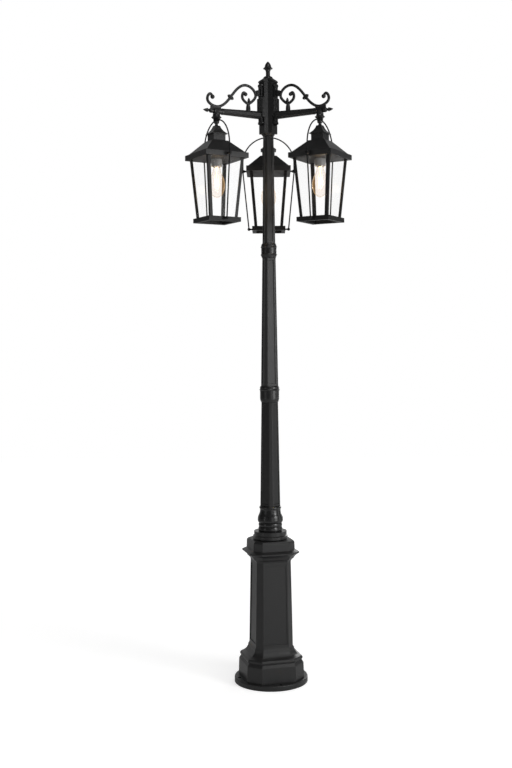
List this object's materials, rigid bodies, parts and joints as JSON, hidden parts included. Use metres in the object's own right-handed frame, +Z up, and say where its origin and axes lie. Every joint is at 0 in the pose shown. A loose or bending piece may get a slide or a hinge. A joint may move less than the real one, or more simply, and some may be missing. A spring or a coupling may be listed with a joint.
{
  "type": "garden lamp post",
  "caption": "Garden lamp post: a cast pedestal and a tapered screwed pole carry a hub whose scrolled arms hang glazed square lanterns with pear-shaped bulbs.",
  "frame": {"origin": "centre of the base plate's underside", "axes": "+Z up along the pole, -Y is the front, one arm points to the rear (+Y) and the other two to the front left and front right"},
  "size_m": [0.662, 0.5733, 2.5],
  "materials": {
    "black_coat": "satin black powder coat with a fine texture",
    "screw_steel": "black screws, a little glossier than the coat",
    "pipe_steel": "zinc-plated threaded pipe, hidden",
    "socket_shell": "light grey glazed lamp socket",
    "bulb_metal": "bright screw cap",
    "bulb_glass": "clear, very slightly warm glass",
    "filament_wire": "thin warm filament",
    "pane_glass": "clear window glass"
  },
  "bodies": {
    "post": {"arm_left": "black_coat", "arm_rear": "black_coat", "arm_right": "black_coat", "base_plate": "black_coat", "bell_left": "black_coat", "bell_rear": "black_coat", "bell_right": "black_coat", "bracket_plate_left": "black_coat", "bracket_plate_rear": "black_coat", "bracket_plate_right": "black_coat", "hub": "black_coat", "lower_coupling": "black_coat", "lower_shaft": "black_coat", "middle_shaft": "black_coat", "pedestal": "black_coat", "plate_screws": "screw_steel", "pole_foot": "black_coat", "scroll_left": "black_coat", "scroll_rear": "black_coat", "scroll_right": "black_coat", "thread_nipples": "pipe_steel", "top_finial": "black_coat", "upper_coupling": "black_coat", "upper_shaft": "black_coat"},
    "lantern_left": {"hanger_left": "black_coat", "bail_left": "black_coat", "bail_knobs_left": "black_coat", "cupola_left": "black_coat", "roof_left": "black_coat", "ceiling_left": "black_coat", "frame_left": "black_coat", "glass_left": "pane_glass", "socket_left": "socket_shell"},
    "bulb_left": {"bulb_glass_left": "bulb_glass", "bulb_cap_left": "bulb_metal", "filament_left": "filament_wire"},
    "lantern_right": {"hanger_right": "black_coat", "bail_right": "black_coat", "bail_knobs_right": "black_coat", "cupola_right": "black_coat", "roof_right": "black_coat", "ceiling_right": "black_coat", "frame_right": "black_coat", "glass_right": "pane_glass", "socket_right": "socket_shell"},
    "bulb_right": {"bulb_glass_right": "bulb_glass", "bulb_cap_right": "bulb_metal", "filament_right": "filament_wire"},
    "lantern_rear": {"hanger_rear": "black_coat", "bail_rear": "black_coat", "bail_knobs_rear": "black_coat", "cupola_rear": "black_coat", "roof_rear": "black_coat", "ceiling_rear": "black_coat", "frame_rear": "black_coat", "glass_rear": "pane_glass", "socket_rear": "socket_shell"},
    "bulb_rear": {"bulb_glass_rear": "bulb_glass", "bulb_cap_rear": "bulb_metal", "filament_rear": "filament_wire"}
  },
  "joints": [
    {"name": "lantern_left_swivel", "type": "hinge", "parent": "post", "child": "lantern_left", "pos_m": [-0.20352, -0.1175, 2.2427], "axis": [0, 0, 1], "range_deg": [-180, 180]},
    {"name": "bulb_left_removal", "type": "slide", "parent": "lantern_left", "child": "bulb_left", "axis": [0, 0, -1], "range_m": [0, 0.26]},
    {"name": "lantern_right_swivel", "type": "hinge", "parent": "post", "child": "lantern_right", "pos_m": [0.20352, -0.1175, 2.2427], "axis": [0, 0, 1], "range_deg": [-180, 180]},
    {"name": "bulb_right_removal", "type": "slide", "parent": "lantern_right", "child": "bulb_right", "axis": [0, 0, -1], "range_m": [0, 0.26]},
    {"name": "lantern_rear_swivel", "type": "hinge", "parent": "post", "child": "lantern_rear", "pos_m": [0, 0.235, 2.2427], "axis": [0, 0, 1], "range_deg": [-180, 180]},
    {"name": "bulb_rear_removal", "type": "slide", "parent": "lantern_rear", "child": "bulb_rear", "axis": [0, 0, -1], "range_m": [0, 0.26]}
  ]
}
